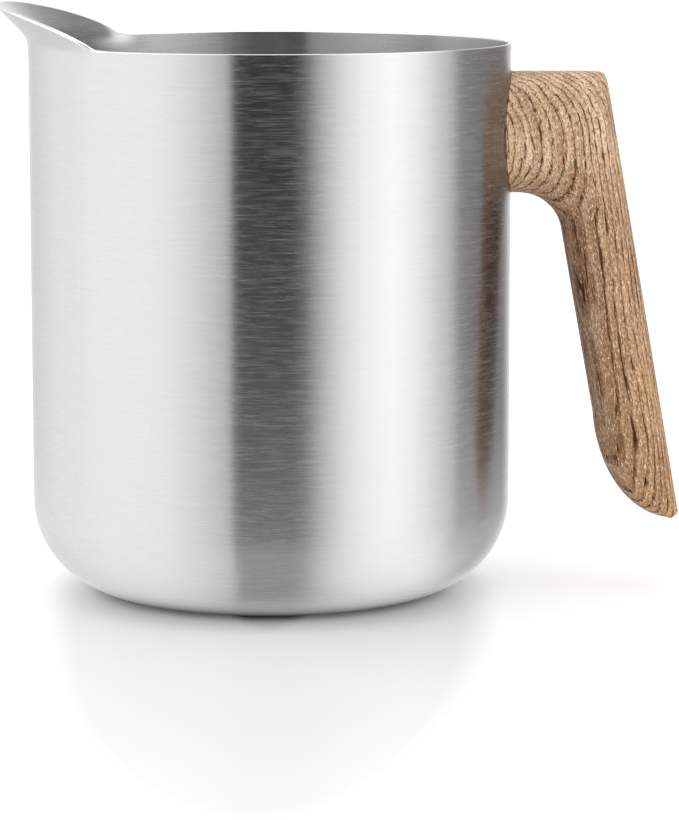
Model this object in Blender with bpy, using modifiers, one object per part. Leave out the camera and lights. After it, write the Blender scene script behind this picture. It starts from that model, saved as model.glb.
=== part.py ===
"""Steel pouring pot with a drawn spout and an oak handle, for melting and pouring candle wax.

A one-piece deep-drawn pot, a carved handle that is scribed to the wall, and two sets of handle
fixings: each screw passes out through the wall, over a washer and a seal, into a threaded insert.
Frame: origin at the middle of the base, +Z up the pot's axis, +X towards the handle, so the spout
points along -X. Metres.
"""

import math

import bmesh
import bpy
from mathutils import Matrix, Vector

MM = 0.001

# Driving dimensions of the pot
POT_RADIUS = 55.0 * MM
POT_HEIGHT = 126.0 * MM
BASE_FILLET = 21.6 * MM
SHEET = 0.8 * MM
POT_SEGMENTS = 72
FILLET_STEPS = 7

# Stamped ring in the base, which stiffens the flat
RING_RADIUS = 26.5 * MM
RING_HALF_WIDTH = 2.0 * MM
RING_HEIGHT = 0.6 * MM

# Spout: the lip rises above the rim over this half angle, and the wall flares out under it
SPOUT_HALF_ANGLE = math.radians(47.5)
SPOUT_RISE = 8.6 * MM
SPOUT_BAND = 8.0 * MM  # height of plain wall under the rim that is drawn into the spout
SPOUT_ROWS = (0.0, 0.36, 0.48, 0.58, 0.68, 0.79, 0.9, 1.0)
FLARE_SLOPE = 0.97
FLARE_SOFTNESS = 1.1 * MM
FLARE_START = 1.2 * MM  # above the rim, in the middle of the spout
FLARE_DROP = 2.9 * MM  # how much lower the flare starts at the spout's edges
LIP_SHAPE = (2.3, 0.75)  # exponents of the lip's arch across the spout

# Handle, in the XZ plane. The neck is round, and the leg hangs from it at a small tilt
NECK_RADIUS = 13.9 * MM
NECK_Z = 105.6 * MM
NECK_ROUNDNESS = 2.0  # exponent of the superellipse: 2 is a circle
LEG_TILT_INNER = math.radians(10.4)
LEG_TILT_OUTER = math.radians(9.9)
LEG_OUTER_AT_TOP = 76.6 * MM  # X where the leg's outer line meets the neck's top line
LEG_INNER_AT_NECK = 65.2 * MM  # X where the leg's inner line meets the neck's lower line
LEG_HALF_WIDTH = 10.0 * MM
LEG_ROUNDNESS = 2.3
CROOK_RADIUS = 10.0 * MM  # finger side of the bend
CORNER_SHARPNESS = 38.0
SMALLEST_SLOPE = 0.05  # of a ray to an edge line, so that it is never followed too far
NECK_INSET = 6.0 * MM  # how far the neck runs through the wall before it is scribed
SCRIBE_REACH = 30.0 * MM  # half height of the cylinder that scribes the neck

# The leg's lower end is scooped to a quarter ellipse on the finger side
HEEL_CENTRE = (93.0 * MM, 44.0 * MM)
HEEL_HALF_X = 18.7 * MM
HEEL_HALF_Z = 27.8 * MM
HEEL_START = math.radians(6.5)
HEEL_END = math.radians(86.0)
HEEL_HALF_WIDTH = 9.3 * MM
NOSE_Z = 18.2 * MM  # where the leg's outer line ends
NOSE_HALF_WIDTH = 4.6 * MM
NOSE_RADIUS = 0.9 * MM
NOSE_TURN = math.radians(84.0)

# How finely the handle is made
NECK_STEPS = 2
CROOK_STEPS = 14
LEG_STEPS = 5
HEEL_STEPS = 8
NOSE_STEPS = 3
SIDE_STEPS = 14
HEEL_CROWDING = 1.3  # above 1, the heel's steps draw together towards the nose

# Handle fixings: M4 button-head screws into brass inserts
FIXING_SPACING = 13.0 * MM
GAP = 0.3 * MM  # between pieces that touch
SCREW_RADIUS = 1.9 * MM
SCREW_LENGTH = 16.0 * MM
SCREW_POINT = (0.4 * MM, 0.5 * MM)  # chamfer of the shank's end, as radius and length
HEAD_RADIUS = 3.8 * MM
HEAD_HEIGHT = 2.2 * MM
HEAD_RIM = 0.25  # share of the head's height that stands straight, under its crown
CROWN_TURNS = tuple(math.radians(turn) for turn in (0, 22, 44, 66))
SOCKET_WIDTH = 2.5 * MM
SOCKET_DEPTH = 1.3 * MM
WASHER_RADIUS = 4.5 * MM
WASHER_THICKNESS = 0.8 * MM
SEAL_RADIUS = 4.8 * MM
SEAL_THICKNESS = 1.2 * MM
CLEARANCE_RADIUS = 2.2 * MM
HOLE_REACH = 4.0 * MM  # of a wall hole's cutter to each side of the wall
INSERT_RADIUS = 3.0 * MM
INSERT_LENGTH = 10.0 * MM
INSERT_INSET = 0.7 * MM
INSERT_GROOVE = 0.5 * MM
POCKET_DEPTH = 13.5 * MM
POCKET_LEAD = 3.0 * MM  # of a pocket's cutter before the neck's end
SOCKET_LEAD = 1.0 * MM  # of a socket's cutter before the screw's crown
SEAL_TRIM_REACH = 10.0 * MM  # half height of the cylinder that trims a seal
FIXING_SEGMENTS = 24
FINE_SEGMENTS = 144

SHARP_ANGLE = math.radians(35.0)
MERGE_DISTANCE = 0.01 * MM

# name: (base colour, metallic, roughness)
FINISHES = {
    "brushed_steel": ((0.63, 0.63, 0.62, 1.0), 1.0, 0.32),
    "oak": ((0.50, 0.31, 0.17, 1.0), 0.0, 0.55),
    "plain_steel": ((0.60, 0.60, 0.60, 1.0), 1.0, 0.25),
    "brass": ((0.72, 0.54, 0.25, 1.0), 1.0, 0.35),
    "silicone": ((0.75, 0.75, 0.73, 1.0), 0.0, 0.6),
}


# ---------------------------------------------------------------- scene and small helpers


def clear_scene():
    for obj in list(bpy.data.objects):
        bpy.data.objects.remove(obj)


def new_collection(name):
    collection = bpy.data.collections.new(name)
    bpy.context.scene.collection.children.link(collection)
    return collection


def finish(name):
    """The material of that name, made once."""
    material = bpy.data.materials.get(name)
    if material is None:
        colour, metallic, roughness = FINISHES[name]
        material = bpy.data.materials.new(name)
        material.use_nodes = True
        shader = material.node_tree.nodes["Principled BSDF"]
        shader.inputs["Base Color"].default_value = colour
        shader.inputs["Metallic"].default_value = metallic
        shader.inputs["Roughness"].default_value = roughness
    return material


def add_object(name, mesh, collection, finish_name=None):
    obj = bpy.data.objects.new(name, mesh)
    collection.objects.link(obj)
    if finish_name:
        mesh.materials.clear()
        mesh.materials.append(finish(finish_name))
        mesh.shade_smooth()
        mesh.set_sharp_from_angle(angle=SHARP_ANGLE)
    return obj


def evaluated_mesh(obj):
    """obj's mesh with its modifiers applied; obj itself is removed."""
    bpy.context.view_layer.update()
    graph = bpy.context.evaluated_depsgraph_get()
    mesh = bpy.data.meshes.new_from_object(obj.evaluated_get(graph))
    bpy.data.objects.remove(obj)
    return mesh


def profile_mesh(points):
    """An open polyline of (radius, height) points in the XZ plane, for a Screw modifier."""
    mesh = bpy.data.meshes.new("profile")
    edges = [(i, i + 1) for i in range(len(points) - 1)]
    mesh.from_pydata([(r, 0.0, z) for r, z in points], edges, [])
    return mesh


def turned_mesh(points, segments, collection):
    """The profile turned once round Z."""
    obj = add_object("turning", profile_mesh(points), collection)
    screw = obj.modifiers.new("turn", "SCREW")
    screw.steps = screw.render_steps = segments
    screw.use_merge_vertices = True
    screw.merge_threshold = MERGE_DISTANCE
    return evaluated_mesh(obj)


def cylinder(name, radius, start, end, segments, collection, axis="Z"):
    """A closed cylinder round Z through the origin, or parallel to X, between two end points."""
    start, end = Vector(start), Vector(end)
    mesh = bpy.data.meshes.new(name)
    shape = bmesh.new()
    bmesh.ops.create_cone(
        shape, cap_ends=True, segments=segments, radius1=radius, radius2=radius,
        depth=(end - start).length,
    )
    turn = Matrix.Rotation(math.pi / 2, 4, "Y") if axis == "X" else Matrix.Identity(4)
    bmesh.ops.transform(shape, matrix=turn, verts=shape.verts)
    shape.to_mesh(mesh)
    shape.free()
    obj = add_object(name, mesh, collection)
    obj.location = (start + end) / 2
    return obj


def make_cutter(obj):
    obj.hide_render = True
    obj.display_type = "WIRE"
    return obj


def boolean(obj, cutter, operation="DIFFERENCE"):
    modifier = obj.modifiers.new(operation.lower() + "_" + cutter.name, "BOOLEAN")
    modifier.operation = operation
    modifier.object = cutter


# ---------------------------------------------------------------- pot


def lip_height(angle):
    """Height of the lip at an angle from the middle of the spout."""
    share = min(1.0, abs(angle) / SPOUT_HALF_ANGLE)
    side, crown = LIP_SHAPE
    return POT_HEIGHT + SPOUT_RISE * (1.0 - share**side) ** crown


def soft_ramp(height):
    """0 well below a height of 0 and the height itself well above it, with a soft bend between."""
    return 0.5 * (height + math.hypot(height, FLARE_SOFTNESS))


def flare(angle, z):
    """How far the wall stands out from the plain cylinder at that angle and height."""
    share = abs(angle) / SPOUT_HALF_ANGLE
    if share >= 1.0:
        return 0.0
    start = POT_HEIGHT + FLARE_START - FLARE_DROP * share**2
    at_foot = soft_ramp(-SPOUT_BAND - FLARE_START)
    return max(0.0, FLARE_SLOPE * (soft_ramp(z - start) - at_foot))


def pot_profile():
    """Outer line of the plain pot, from the rim down to the middle of the base."""
    band_foot = POT_HEIGHT - SPOUT_BAND
    points = [(POT_RADIUS, band_foot + SPOUT_BAND * row) for row in reversed(SPOUT_ROWS)]
    points.append((POT_RADIUS, (band_foot + BASE_FILLET) / 2))
    centre_r = POT_RADIUS - BASE_FILLET
    for step in range(FILLET_STEPS + 1):
        turn = math.pi / 2 * step / FILLET_STEPS
        points.append((
            centre_r + BASE_FILLET * math.cos(turn),
            BASE_FILLET - BASE_FILLET * math.sin(turn),
        ))
    for offset, height in ((1.0, 0.0), (0.4, RING_HEIGHT), (-0.4, RING_HEIGHT), (-1.0, 0.0)):
        points.append((RING_RADIUS + RING_HALF_WIDTH * offset, height))
    points.append((0.0, 0.0))
    return points


def draw_spout(mesh):
    """Raises and flares the wall under the rim on the -X side, as a press draws a spout."""
    foot = POT_HEIGHT - SPOUT_BAND
    for vertex in mesh.vertices:
        x, y, z = vertex.co
        angle = math.atan2(y, -x)
        if z <= foot or abs(angle) >= SPOUT_HALF_ANGLE:
            continue
        raised = foot + (lip_height(angle) - foot) * (z - foot) / SPOUT_BAND
        radius = POT_RADIUS + flare(angle, raised)
        vertex.co = (-radius * math.cos(angle), radius * math.sin(angle), raised)


def build_pot(parts, cutters, fixing_heights):
    mesh = turned_mesh(pot_profile(), POT_SEGMENTS, parts)
    draw_spout(mesh)
    pot = add_object("pot_shell", mesh, parts, "brushed_steel")
    sheet = pot.modifiers.new("sheet", "SOLIDIFY")
    sheet.thickness = SHEET
    sheet.offset = -1.0
    sheet.use_even_offset = True
    for name, z in fixing_heights.items():
        hole = cylinder(
            name + "_wall_hole", CLEARANCE_RADIUS, (POT_RADIUS - HOLE_REACH, 0, z),
            (POT_RADIUS + HOLE_REACH, 0, z), FIXING_SEGMENTS, cutters, axis="X",
        )
        boolean(pot, make_cutter(hole))
    return pot


# ---------------------------------------------------------------- handle


def unit(angle):
    """Unit vector in the XZ plane at an angle above +X."""
    return Vector((math.cos(angle), math.sin(angle)))


def mix(a, b, share):
    return a + (b - a) * share


def ease(share):
    return share * share * (3.0 - 2.0 * share)


def dome(share, roundness):
    """Quarter of a superellipse: 0 at its edge, rising to 1 at its crown and level from there."""
    return (1.0 - (1.0 - min(1.0, max(0.0, share))) ** roundness) ** (1.0 / roundness)


def side_shares():
    """Places across the handle's side, from 0 at the finger edge to 1 at the back edge."""
    return [0.5 - 0.5 * math.cos(math.pi * i / SIDE_STEPS) for i in range(SIDE_STEPS + 1)]


def closed_ring(side):
    """A ring from the points of one side, (x, half thickness, z), and their mirror images."""
    near = [(x, -y, z) for x, y, z in side]
    far = [(x, y, z) for x, y, z in side[1:-1]]
    return near + list(reversed(far))


def plain_ring(finger, back, half_width, roundness):
    """A superellipse standing on the line from finger to back."""
    side = []
    for share in side_shares():
        point = finger.lerp(back, share)
        rise = dome(2.0 * min(share, 1.0 - share), roundness)
        side.append((point.x, half_width * rise, point.y))
    return closed_ring(side)


def neck_rings():
    """The round neck, from inside the wall to the start of the crook."""
    start = POT_RADIUS - NECK_INSET
    for step in range(NECK_STEPS):
        x = mix(start, crook_centre().x, step / NECK_STEPS)
        finger = Vector((x, NECK_Z - NECK_RADIUS))
        back = Vector((x, NECK_Z + NECK_RADIUS))
        yield plain_ring(finger, back, NECK_RADIUS, NECK_ROUNDNESS)


def crook_centre():
    tangent = CROOK_RADIUS * math.tan((math.pi / 2 - LEG_TILT_INNER) / 2)
    return Vector((LEG_INNER_AT_NECK - tangent, NECK_Z - NECK_RADIUS - CROOK_RADIUS))


def outer_line():
    """A point on the leg's outer line, where it meets the neck's top line, and its normal."""
    return Vector((LEG_OUTER_AT_TOP, NECK_Z + NECK_RADIUS)), unit(LEG_TILT_OUTER)


def crook_rings():
    """The bend: rays fan out from the crook's centre to the neck's top and the leg's back.

    Each side falls away to three edges: the finger edge, the top line and the outer line."""
    centre = crook_centre()
    corner, outer_normal = outer_line()
    leg_half_depth = 0.5 * ((corner - centre).dot(outer_normal) - CROOK_RADIUS)
    for step in range(CROOK_STEPS + 1):
        bend = step / CROOK_STEPS
        direction = unit(mix(math.pi / 2, LEG_TILT_INNER, bend))
        half_width = mix(NECK_RADIUS, LEG_HALF_WIDTH, ease(bend))
        roundness = mix(NECK_ROUNDNESS, LEG_ROUNDNESS, bend)
        finger_depth = mix(NECK_RADIUS, leg_half_depth, bend)
        to_top = (corner.y - centre.y) / max(direction.y, SMALLEST_SLOPE)
        to_line = (corner - centre).dot(outer_normal) / max(direction.dot(outer_normal), SMALLEST_SLOPE)
        to_sharp = min(to_top, to_line)
        ratio = to_sharp / max(to_top, to_line)
        to_round = to_sharp * (1.0 + ratio**CORNER_SHARPNESS) ** (-1.0 / CORNER_SHARPNESS)
        side = []
        for share in side_shares():
            point = centre + direction * mix(CROOK_RADIUS, to_round, share)
            sharp = centre + direction * mix(CROOK_RADIUS, to_sharp, share)
            below_top = max(0.0, corner.y - sharp.y)
            inside_line = max(0.0, (corner - sharp).dot(outer_normal))
            rise = dome(((point - centre).length - CROOK_RADIUS) / finger_depth, roundness)
            rise *= dome(below_top / NECK_RADIUS, NECK_ROUNDNESS)
            rise *= dome(inside_line / leg_half_depth, LEG_ROUNDNESS)
            side.append((point.x, half_width * rise, point.y))
        yield closed_ring(side)


def heel_point(turn):
    """A point on the scooped edge of the leg's lower end."""
    return Vector((
        HEEL_CENTRE[0] - HEEL_HALF_X * math.cos(turn),
        HEEL_CENTRE[1] - HEEL_HALF_Z * math.sin(turn),
    ))


def leg_rings():
    """The straight leg, its scooped heel, and the small rounded nose that closes it."""
    corner, outer_normal = outer_line()
    normal = unit(LEG_TILT_INNER)
    leg_start, leg_end = crook_centre() + CROOK_RADIUS * normal, heel_point(HEEL_START)
    for step in range(1, LEG_STEPS + 1):
        share = step / LEG_STEPS
        finger = leg_start.lerp(leg_end, share)
        back = finger + normal * (corner - finger).dot(outer_normal) / normal.dot(outer_normal)
        yield plain_ring(finger, back, mix(LEG_HALF_WIDTH, HEEL_HALF_WIDTH, share), LEG_ROUNDNESS)

    back_start = back
    back_end = Vector((corner.x + (corner.y - NOSE_Z) * math.tan(LEG_TILT_OUTER), NOSE_Z))
    for step in range(1, HEEL_STEPS + 1):
        share = 1.0 - (1.0 - step / HEEL_STEPS) ** HEEL_CROWDING
        finger = heel_point(mix(HEEL_START, HEEL_END, share))
        back = back_start.lerp(back_end, share)
        yield plain_ring(finger, back, mix(HEEL_HALF_WIDTH, NOSE_HALF_WIDTH, share**3), LEG_ROUNDNESS)

    middle, half = (finger + back) / 2, (back - finger) / 2
    forward = Vector((half.y, -half.x)).normalized()
    for step in range(1, NOSE_STEPS + 1):
        turn = NOSE_TURN * step / NOSE_STEPS
        centre = middle + forward * NOSE_RADIUS * math.sin(turn)
        shrunk = half * math.cos(turn)
        width = NOSE_HALF_WIDTH * math.cos(turn)
        yield plain_ring(centre - shrunk, centre + shrunk, width, LEG_ROUNDNESS)


def loft(rings):
    """A closed mesh through rings of equal length, with flat ends."""
    shape = bmesh.new()
    loops = [[shape.verts.new(p) for p in ring] for ring in rings]
    count = len(loops[0])
    for low, high in zip(loops, loops[1:]):
        for i in range(count):
            j = (i + 1) % count
            shape.faces.new((low[i], low[j], high[j], high[i]))
    shape.faces.new(list(reversed(loops[0])))
    shape.faces.new(loops[-1])
    bmesh.ops.recalc_face_normals(shape, faces=shape.faces)
    mesh = bpy.data.meshes.new("handle")
    shape.to_mesh(mesh)
    shape.free()
    return mesh


def build_handle(parts, cutters, fixing_heights):
    rings = [*neck_rings(), *crook_rings(), *leg_rings()]
    handle = add_object("handle", loft(rings), parts, "oak")
    wall = cylinder(
        "wall_scribe", POT_RADIUS + GAP, (0, 0, NECK_Z - SCRIBE_REACH),
        (0, 0, NECK_Z + SCRIBE_REACH), FINE_SEGMENTS, cutters,
    )
    boolean(handle, make_cutter(wall))
    for name, z in fixing_heights.items():
        pocket = cylinder(
            name + "_pocket", INSERT_RADIUS + GAP, (POT_RADIUS - POCKET_LEAD, 0, z),
            (POT_RADIUS + POCKET_DEPTH, 0, z), FIXING_SEGMENTS, cutters, axis="X",
        )
        boolean(handle, make_cutter(pocket))
    return handle


# ---------------------------------------------------------------- fixings


def place_on_x(obj, x, z):
    """Turns a piece that was made round Z so that its +Z runs along +X, and moves it there."""
    obj.rotation_euler = (0, math.pi / 2, 0)
    obj.location = (x, 0, z)


def build_screw(name, x_seat, z, parts, cutters):
    """Button-head screw: the head on the pot's inside, the shank running out along +X."""
    bulge = [
        (HEAD_RADIUS * math.cos(turn), -HEAD_HEIGHT * mix(HEAD_RIM, 1.0, math.sin(turn)))
        for turn in CROWN_TURNS
    ]
    outline = [(0, SCREW_LENGTH), (SCREW_RADIUS - SCREW_POINT[0], SCREW_LENGTH)]
    outline += [(SCREW_RADIUS, SCREW_LENGTH - SCREW_POINT[1]), (SCREW_RADIUS, 0), (HEAD_RADIUS, 0)]
    outline += bulge + [(0, -HEAD_HEIGHT)]
    screw = add_object(name, turned_mesh(outline, FIXING_SEGMENTS, parts), parts, "plain_steel")
    place_on_x(screw, x_seat, z)
    socket = cylinder(
        name + "_socket", SOCKET_WIDTH / math.sqrt(3), (x_seat - HEAD_HEIGHT - SOCKET_LEAD, 0, z),
        (x_seat - HEAD_HEIGHT + SOCKET_DEPTH, 0, z), 6, cutters, axis="X",
    )
    boolean(screw, make_cutter(socket))


def ring_outline(inner, outer, length):
    """Closed rectangular section of a ring, running down its outer side."""
    return [(outer, length), (outer, 0), (inner, 0), (inner, length), (outer, length)]


def build_fixing(name, z, parts, cutters):
    """One set: seal against the wall, washer, screw, and the insert in the handle."""
    seal_wall_x = POT_RADIUS - SHEET - GAP
    seal_x = seal_wall_x - SEAL_THICKNESS
    washer_x = seal_x - GAP - WASHER_THICKNESS
    seat_x = washer_x - GAP
    build_screw(name + "_handle_screw", seat_x, z, parts, cutters)

    washer_mesh = turned_mesh(
        ring_outline(CLEARANCE_RADIUS, WASHER_RADIUS, WASHER_THICKNESS), FIXING_SEGMENTS, parts
    )
    washer = add_object(name + "_washer", washer_mesh, parts, "plain_steel")
    place_on_x(washer, washer_x, z)

    seal_mesh = turned_mesh(
        ring_outline(CLEARANCE_RADIUS, SEAL_RADIUS, 2 * SEAL_THICKNESS), FIXING_SEGMENTS, parts
    )
    seal = add_object(name + "_seal", seal_mesh, parts, "silicone")
    place_on_x(seal, seal_x, z)
    inside_wall = cylinder(
        name + "_seal_trim", seal_wall_x, (0, 0, z - SEAL_TRIM_REACH),
        (0, 0, z + SEAL_TRIM_REACH), FINE_SEGMENTS, cutters,
    )
    boolean(seal, make_cutter(inside_wall), "INTERSECT")

    groove = INSERT_RADIUS - INSERT_GROOVE
    third = INSERT_LENGTH / 3
    outline = [
        (INSERT_RADIUS, INSERT_LENGTH), (INSERT_RADIUS, 2 * third), (groove, 2 * third),
        (groove, third), (INSERT_RADIUS, third), (INSERT_RADIUS, 0), (CLEARANCE_RADIUS, 0),
        (CLEARANCE_RADIUS, INSERT_LENGTH), (INSERT_RADIUS, INSERT_LENGTH),
    ]
    insert_mesh = turned_mesh(outline, FIXING_SEGMENTS, parts)
    insert = add_object(name + "_threaded_insert", insert_mesh, parts, "brass")
    place_on_x(insert, POT_RADIUS + GAP + INSERT_INSET, z)


def main():
    clear_scene()
    parts = new_collection("candle_melting_pot")
    cutters = new_collection("cutters")
    fixing_heights = {
        "upper": NECK_Z + FIXING_SPACING / 2,
        "lower": NECK_Z - FIXING_SPACING / 2,
    }
    build_pot(parts, cutters, fixing_heights)
    build_handle(parts, cutters, fixing_heights)
    for name, z in fixing_heights.items():
        build_fixing(name, z, parts, cutters)


main()
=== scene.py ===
"""Looks for the steel pouring pot: brushed sheet steel, an oiled oak handle and its fixings.

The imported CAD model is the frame. The pot, the handle and the fixings that show are rebuilt here as
fine meshes in the same places, and every surface gets a procedural material.
"""
import math

import bmesh
import bpy
from mathutils import Matrix, Vector


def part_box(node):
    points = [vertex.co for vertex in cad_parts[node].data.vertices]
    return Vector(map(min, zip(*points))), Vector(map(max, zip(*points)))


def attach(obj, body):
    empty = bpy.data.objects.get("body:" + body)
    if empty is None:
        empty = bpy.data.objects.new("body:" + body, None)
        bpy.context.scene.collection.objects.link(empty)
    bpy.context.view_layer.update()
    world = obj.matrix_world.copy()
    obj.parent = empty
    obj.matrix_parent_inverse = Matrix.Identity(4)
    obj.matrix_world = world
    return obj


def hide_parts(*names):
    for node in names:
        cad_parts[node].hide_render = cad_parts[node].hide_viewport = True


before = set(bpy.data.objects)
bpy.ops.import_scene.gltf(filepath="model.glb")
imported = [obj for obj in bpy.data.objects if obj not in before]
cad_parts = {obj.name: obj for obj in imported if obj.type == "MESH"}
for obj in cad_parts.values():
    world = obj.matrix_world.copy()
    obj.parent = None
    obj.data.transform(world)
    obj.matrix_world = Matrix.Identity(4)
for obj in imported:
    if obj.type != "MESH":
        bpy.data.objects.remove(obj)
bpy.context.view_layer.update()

MM = 0.001
BODY = "root"
ON_AXIS = 1e-7  # a radius below this, in metres, is a point on the axis
CORNER_SHARE = 0.45  # the most of an edge that one rounded corner may use
CUT_SEGMENTS = 64
SHARP_ANGLE = 40.0

# ---------------------------------------------------------------- sizes read from the frame

pot_low, pot_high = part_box("pot_shell")
handle_low, handle_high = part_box("handle")
POT_RADIUS = (pot_high[1] - pot_low[1]) / 2
NECK_RADIUS = (handle_high[1] - handle_low[1]) / 2
NECK_TOP = handle_high[2]
NECK_Z = NECK_TOP - NECK_RADIUS

# ---------------------------------------------------------------- sizes of the pot

SHEET = 0.8 * MM
POT_HEIGHT = 126.0 * MM
BASE_FILLET = 21.6 * MM
RING_RADIUS = 26.5 * MM
RING_HALF_WIDTH = 2.0 * MM
RING_HEIGHT = 0.6 * MM
EDGE_ROUND = 0.3  # how far the rim's edge is rounded, as a share of the sheet
EDGE_TURNS = (0.0, 30.0, 60.0, 90.0)
BASE_RADII = (20.0 * MM, 12.0 * MM, 4.0 * MM)
WALL_CUT = 4.0 * MM  # reach of the holes' cutters to either side of the wall
POT_SHARP_ANGLE = 50.0

SPOUT_HALF_ANGLE = math.radians(47.5)
SPOUT_RISE = 8.6 * MM
SPOUT_BAND = 14.0 * MM
LIP_SHAPE = (2.3, 0.75)  # powers that make the lip full in its middle and quick at its ends
FLARE_SLOPE = 0.97
FLARE_SOFTNESS = 1.1 * MM
FLARE_START = 1.2 * MM
FLARE_DROP = 2.6 * MM
FLARE_FADE = (math.radians(44.0), math.radians(53.0))

POT_SEGMENTS = 480
FILLET_ROWS = 24
WALL_ROWS = 12
RING_ROWS = 8
SPOUT_ROWS = 36

# ---------------------------------------------------------------- sizes of the handle

NECK_ROUNDNESS = 2.0
LEG_TILT_INNER = math.radians(10.4)
LEG_TILT_OUTER = math.radians(9.9)
LEG_OUTER_AT_TOP = 76.6 * MM
LEG_INNER_AT_NECK = 65.2 * MM
LEG_HALF_WIDTH = 10.0 * MM
LEG_ROUNDNESS = 2.3
CROOK_RADIUS = 10.0 * MM
CORNER_SHARPNESS = 38.0
SMALLEST_SLOPE = 0.05
HEEL_CENTRE = (93.0 * MM, 44.0 * MM)
HEEL_HALF_X = 18.7 * MM
HEEL_HALF_Z = 27.8 * MM
HEEL_START = math.radians(6.5)
HEEL_END = math.radians(86.0)
HEEL_HALF_WIDTH = 9.3 * MM
NOSE_Z = 18.2 * MM
NOSE_HALF_WIDTH = 4.6 * MM
NOSE_RADIUS = 0.9 * MM
NOSE_TURN = math.radians(84.0)
HEEL_CROWDING = 1.3  # packs the rings towards the end of the heel
NECK_INSET = 6.0 * MM  # how far the neck starts inside the wall before it is scribed
SCRIBE_REACH = 30.0 * MM
POCKET_LEAD = 3.0 * MM
SEAT_GAP = 0.05 * MM
POCKET_GAP = 0.3 * MM

NECK_STEPS = 12
CROOK_STEPS = 72
LEG_STEPS = 36
HEEL_STEPS = 44
NOSE_STEPS = 8
SIDE_STEPS = 44

# ---------------------------------------------------------------- sizes of the fixings

SCREW_RADIUS = 1.9 * MM
SCREW_LENGTH = 16.0 * MM
HEAD_RADIUS = 3.8 * MM
HEAD_HEIGHT = 2.2 * MM
SOCKET_WIDTH = 2.5 * MM
SOCKET_DEPTH = 1.3 * MM
SOCKET_LEAD = 1.0 * MM
SOCKET_CHAMFER = 0.72  # radius of the crown's flat, as a share of the socket's width
HEAD_FLANK = 0.25  # height of the head's straight side, as a share of its height
CROWN_TURNS = range(6, 67, 6)
HEAD_EDGE = 0.1 * MM
HEAD_FILLET = 0.15 * MM
TIP_CHAMFER = (0.4 * MM, 0.5 * MM)  # (inwards, along)
SCREW_SHARP_ANGLE = 35.0
WASHER_ROUND = 0.12 * MM
SEAL_ROUND = 0.2 * MM
SEAL_REACH = 10.0 * MM
CLEARANCE_RADIUS = 2.2 * MM
INSERT_RADIUS = 3.0 * MM
POCKET_DEPTH = 13.5 * MM
FIXING_SEGMENTS = 96

# ---------------------------------------------------------------- light of the studio

# Screens stand on both sides as long strips that pass over and under the pot, from front to back.
# Each is (angle from the middle strip, brightness); the angle is positive towards the handle.
FRONT_SCREENS = [
    (-90, 1.40), (-72, 1.45), (-50, 1.40), (-34, 1.12), (-25, 0.88), (-17.6, 0.72),
    (-16.4, 0.02), (11, 0.02), (17, 0.16), (24, 0.62), (34, 1.16),
    (46, 1.55), (60, 1.72), (74, 1.40), (90, 0.58),
]
BACK_SCREENS = [
    (-90, 1.40), (-56, 1.25), (-25, 0.85), (0, 0.95), (12, 0.95),
    (30, 0.25), (60, 0.28), (78, 0.38), (90, 0.54),
]
SCREEN_TOP = 2.0
FRONT_TO_BACK = (0.0, 0.25)  # where the front strips give way to the back ones, as a direction's Y
UNDER_POT = (-0.75, -0.40)  # and where they stay, under the pot's rounded foot, as a direction's Z
STRIPS_UNDER = 0.43  # width of the strips straight under the pot, as a share of their full width
LAMP_EDGE = (0.86, 0.95)  # the overhead lamp's soft edge, as a direction's Z
LAMP_LEVEL = 1.7
MATT_SHARE = 0.45  # share of the screens' light that reaches matt surfaces, which also get an even fill
MATT_FILL = 0.74
MATT_FILL_SIDE = 0.4  # share of that fill that comes from the handle's side
BACKDROP_LEVEL = 1.02
VEIL_LEVEL = 1.3
VEIL_CONTACT = 0.02  # its level right under the pot, a painted contact shadow in what the pot's foot mirrors
# (mm from the pot's axis, cover of the veil)
VEIL_STOPS = [(43, 1.0), (49, 0.34), (90, 0.42), (130, 0.42), (230, 0.0)]
VEIL_SHADE = (38.0, 49.0)  # mm from the pot's axis, across its contact shadow
# (mm from the pot's axis, strength of the table's own light, kept low near the pot as a painted soft
# shadow)
GLOW_AND_PAINTED_SHADOW_STOPS = [(44, 0.0), (54, 0.08), (110, 0.07), (150, 0.07), (200, 0.10), (240, 0.30)]
GLOW_REACH = 240.0
SIDE_GLOW = 4.6  # how much sooner the table brightens to the sides and the back than to the front, which leaves a painted shadow in front of the pot
TABLE_IOR = 1.05
TABLE_ROUGHNESS = 0.08
TABLE_GLOSS = 0.5
TABLE_GLOSS_FADE = (1.0, 1.6)  # where the gloss fades out, as shares of GLOW_REACH
TABLE_REACH = 3.0
TABLE_DROP = 0.02 * MM

CAMERA_PLACE = (0.0158, -0.8088, 0.1649)
CAMERA_PITCH = math.radians(8.70)
CAMERA_LENS = 155.1
CAMERA_SENSOR = 36.0

# ---------------------------------------------------------------- grain of the oak

FIBRE = Vector((0.174, 0.0, -0.985))  # runs down the leg
LEG_OUTWARD = Vector((0.985, 0.0, 0.174))
RING_DIRECTION = (0.725 * LEG_OUTWARD + 0.69 * Vector((0.0, 1.0, 0.0))).normalized()
RING_SPACING = 1.6  # in mm, like every length below
RING_WANDER = 3.4
RING_RIPPLE = 0.8

# Tint of the oak from the neck's top (0) to the leg's tip (1): the wood turns more orange down the leg,
# and a painted shade darkens it round the crook below the neck
OAK_TINT_AND_PAINTED_SHADE = [
    (0.02, (1.0, 1.0, 1.0)), (0.11, (0.86, 0.77, 0.68)), (0.20, (0.69, 0.59, 0.52)),
    (0.39, (0.70, 0.58, 0.49)), (0.67, (0.73, 0.59, 0.44)), (0.94, (0.74, 0.55, 0.35)),
]
OAK_DEEP, OAK_PALE = (0.78, 0.51, 0.30), (1.12, 0.84, 0.57)
# Painted shade that darkens the back edge of the leg
OAK_PAINTED_BACK_SHADE = (0.86, 0.85, 0.83)

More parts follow.
